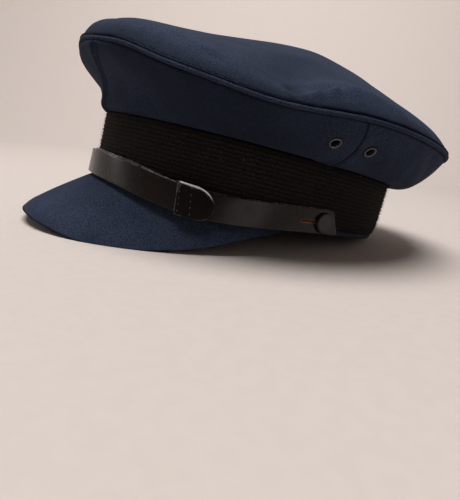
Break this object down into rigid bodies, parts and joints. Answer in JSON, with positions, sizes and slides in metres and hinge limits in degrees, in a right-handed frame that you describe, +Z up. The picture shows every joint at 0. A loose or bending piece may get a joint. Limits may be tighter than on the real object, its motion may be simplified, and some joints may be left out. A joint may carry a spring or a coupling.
{
  "type": "peaked cap",
  "caption": "Peaked cap with a soft piped cloth crown over a ribbed band, a cloth-covered peak and a leather chin strap with slides and side buttons.",
  "frame": {"origin": "centre of the bounding box's base, on the surface that the cap rests on", "axes": "+Z up from the surface, -Y towards the peak, +X towards the wearer's left"},
  "size_m": [0.2422, 0.2731, 0.1227],
  "materials": {
    "navy_cloth": "dark navy wool barathea, matt",
    "mohair_braid": "black ribbed mohair braid",
    "strap_leather": "dark brown-black leather with a worn sheen",
    "button_black": "satin black",
    "eyelet_metal": "dulled grey metal"
  },
  "bodies": {
    "root": {"crown_top": "navy_cloth", "crown_piping": "navy_cloth", "mohair_band": "mohair_braid", "head_band": "navy_cloth", "peak": "navy_cloth", "quarter_front_left": "navy_cloth", "quarter_front_right": "navy_cloth", "quarter_back_left": "navy_cloth", "quarter_back_right": "navy_cloth", "eyelet_front_left": "eyelet_metal", "eyelet_front_right": "eyelet_metal", "eyelet_back_left": "eyelet_metal", "eyelet_back_right": "eyelet_metal", "strap_left": "strap_leather", "strap_right": "strap_leather", "slide_left": "strap_leather", "slide_right": "strap_leather", "button_left": "button_black", "button_right": "button_black"}
  },
  "joints": []
}
